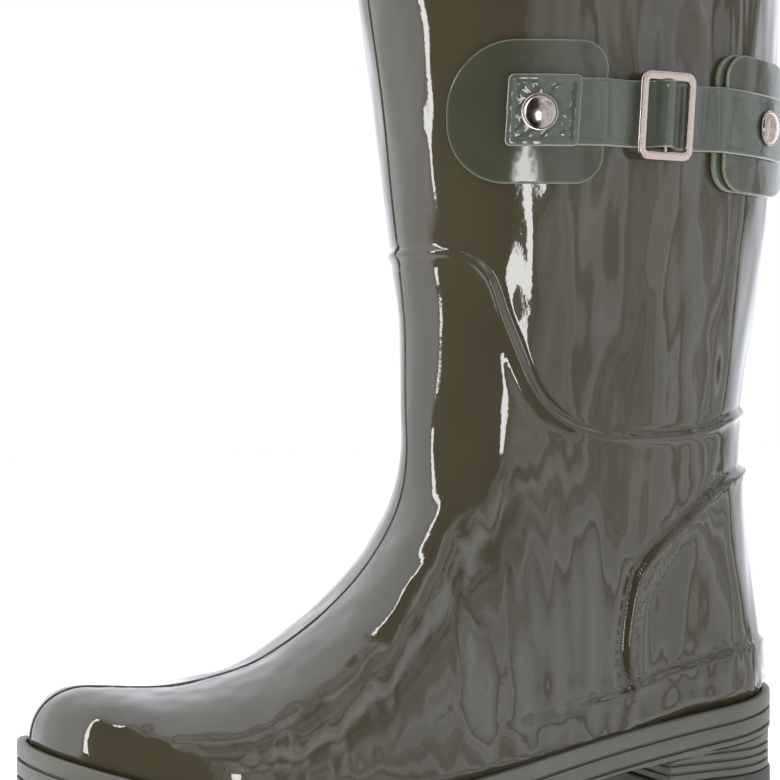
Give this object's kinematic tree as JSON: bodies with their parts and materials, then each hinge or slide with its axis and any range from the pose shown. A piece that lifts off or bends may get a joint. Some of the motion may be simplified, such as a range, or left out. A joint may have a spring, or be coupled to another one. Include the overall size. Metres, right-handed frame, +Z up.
{
  "type": "rubber rain boot",
  "caption": "Left rain boot with a glossy moulded upper, low ribbed heel, wedge sole and a riveted, buckled strap on its outer side.",
  "frame": {"origin": "on the ground under the middle of the heel, at the heel lift's flat face", "axes": "+Z up the leg, -X towards the toe, -Y towards the outer side of a left foot"},
  "size_m": [0.2791, 0.1211, 0.318],
  "materials": {
    "upper_pvc": "high gloss moulded PVC",
    "collar_pvc": "gloss",
    "lining_knit": "knitted",
    "sole_rubber": "matte",
    "lift_rubber": "matte",
    "core_filler": "matte",
    "fibre_board": "matte",
    "shank_steel": "rolled",
    "insock_foam": "knit faced foam",
    "patch_pvc": "semi-gloss translucent PVC",
    "strap_pvc": "semi-gloss translucent PVC",
    "nickel": "plated, warm nickel"
  },
  "bodies": {
    "boot": {"upper_shell": "upper_pvc", "textile_lining": "lining_knit", "collar_band": "collar_pvc", "outsole": "sole_rubber", "heel_block": "sole_rubber", "heel_top_lift": "lift_rubber", "heel_core": "core_filler", "insole_board": "fibre_board", "steel_shank": "shank_steel", "removable_insock": "insock_foam", "front_patch": "patch_pvc", "keeper_plate": "patch_pvc", "side_strap": "strap_pvc", "rear_patch_base": "patch_pvc", "rear_patch_top": "patch_pvc", "front_rivet": "nickel", "front_rivet_washer": "nickel", "rear_rivet": "nickel", "rear_rivet_washer": "nickel"},
    "buckle": {"strap_buckle": "nickel"}
  },
  "joints": [
    {"name": "buckle_rock", "type": "hinge", "parent": "boot", "child": "buckle", "pos_m": [-0.0471, -0.05802, 0.23418], "axis": [-0.0001, -0.105, 0.9945], "range_deg": [-8, 8]}
  ]
}
